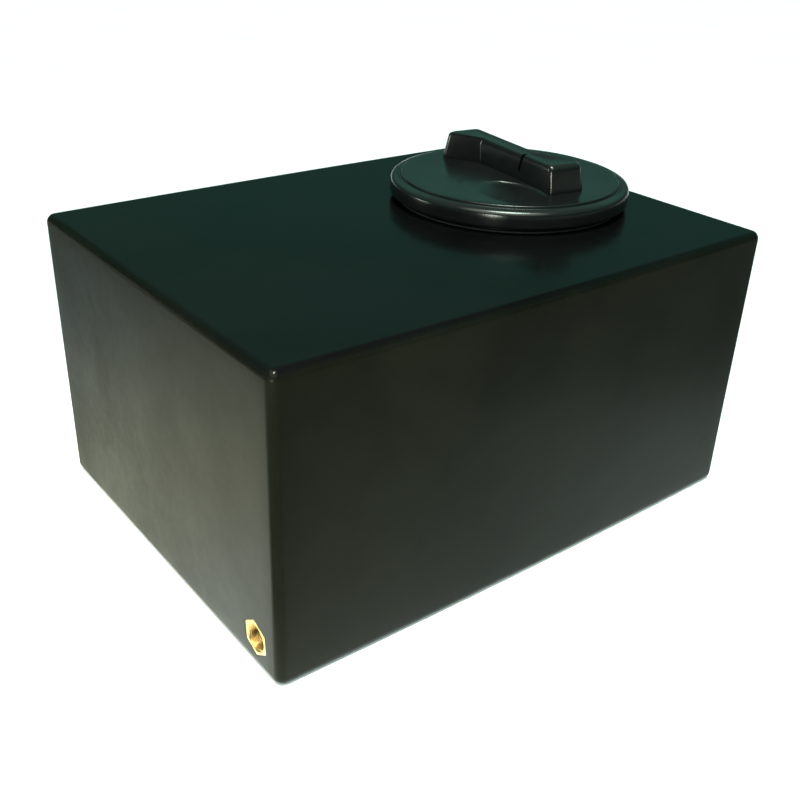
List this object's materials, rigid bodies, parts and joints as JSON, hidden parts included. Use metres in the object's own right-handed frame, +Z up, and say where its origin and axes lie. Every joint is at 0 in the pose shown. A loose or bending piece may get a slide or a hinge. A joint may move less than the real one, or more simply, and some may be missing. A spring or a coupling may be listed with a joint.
{
  "type": "fresh water tank",
  "caption": "Rectangular moulded plastic water tank with a screw lid and grip bar on a bolted collar, and a brass threaded outlet low in one end wall.",
  "frame": {"origin": "centre of the footprint on the underside of the tank", "axes": "+X along the tank towards the end with the lid, +Y across the tank, away from the side nearer the outlet, +Z up"},
  "size_m": [0.58, 0.4368, 0.352],
  "materials": {
    "tank_plastic": "glossy black moulded polyethylene with soft mottling",
    "lid_plastic": "satin black injection moulded plastic",
    "brass": "bright machined brass",
    "rubber": "matt black rubber",
    "stainless": "plain stainless steel"
  },
  "bodies": {
    "tank": {"tank_shell": "tank_plastic", "outlet_insert": "brass", "neck_ring": "lid_plastic", "ring_gasket": "rubber", "neck_screw_1": "stainless", "neck_screw_2": "stainless", "neck_screw_3": "stainless", "neck_screw_4": "stainless", "neck_screw_5": "stainless", "neck_screw_6": "stainless", "neck_screw_7": "stainless", "neck_screw_8": "stainless", "neck_nut_1": "stainless", "neck_nut_2": "stainless", "neck_nut_3": "stainless", "neck_nut_4": "stainless", "neck_nut_5": "stainless", "neck_nut_6": "stainless", "neck_nut_7": "stainless", "neck_nut_8": "stainless"},
    "seal": {"lid_seal": "rubber"},
    "lid": {"lid": "lid_plastic", "vent_baffle": "lid_plastic"}
  },
  "joints": [
    {"name": "lid_rise", "type": "slide", "parent": "tank", "child": "seal", "axis": [0, 0, 1], "range_m": [0, 0.0193]},
    {"name": "lid_turn", "type": "hinge", "parent": "seal", "child": "lid", "pos_m": [0.1425, 0.0065, 0.295], "axis": [0, 0, 1], "range_deg": [0, 864]}
  ],
  "couplings": [
    {"joint": "lid_rise", "follows": "lid_turn", "m_per_rad": 0.0012732}
  ]
}
